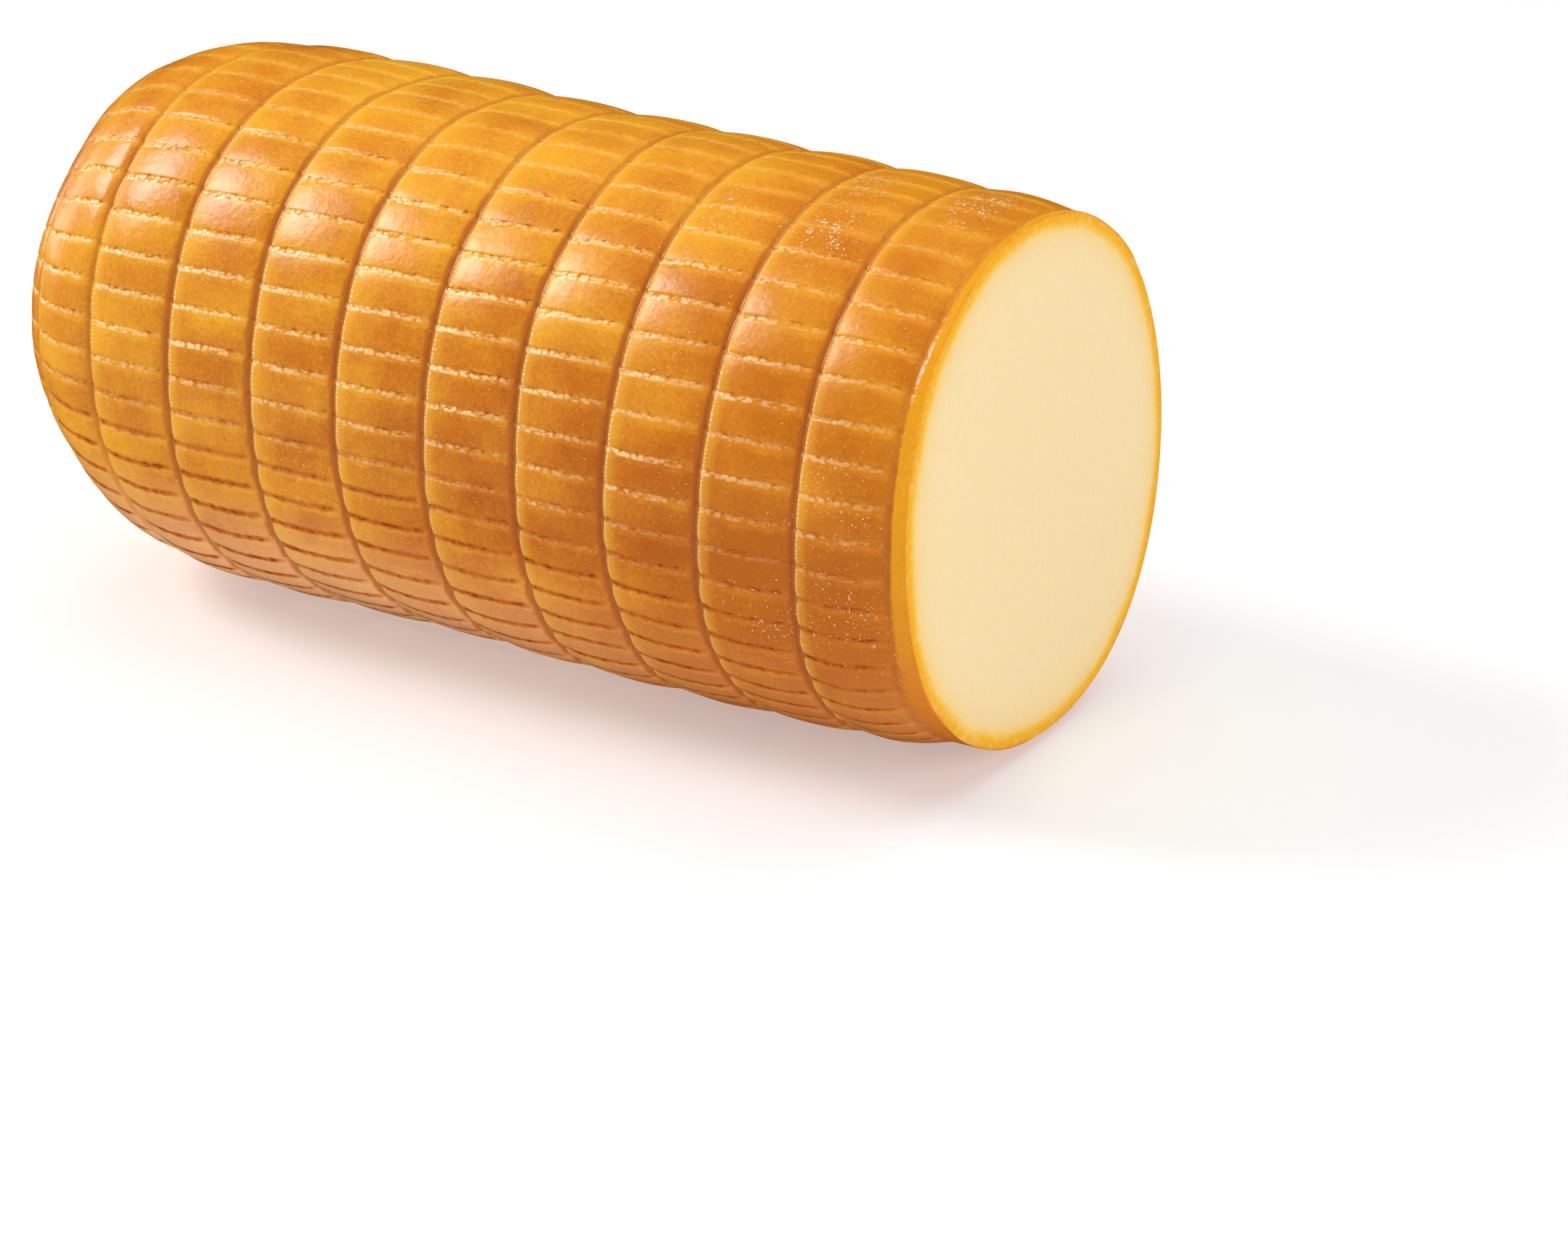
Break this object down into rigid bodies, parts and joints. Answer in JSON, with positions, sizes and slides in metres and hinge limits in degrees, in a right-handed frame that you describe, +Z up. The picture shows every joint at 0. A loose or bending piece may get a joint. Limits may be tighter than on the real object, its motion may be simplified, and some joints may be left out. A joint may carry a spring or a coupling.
{
  "type": "smoked mozzarella loaf",
  "caption": "Cut log of smoked mozzarella lying on its side, with a flat pale cut face, a rounded gathered end, and hoop grooves and string lines in a golden rind.",
  "frame": {"origin": "on the table, under the middle of the loaf's box", "axes": "+X along the loaf towards the cut face, +Y away from the front, +Z up"},
  "size_m": [0.2032, 0.1022, 0.101],
  "materials": {
    "smoked_rind": "satin smoked cheese rind, pale cream where it is cut"
  },
  "bodies": {
    "root": {"cheese_loaf": "smoked_rind"}
  },
  "joints": []
}
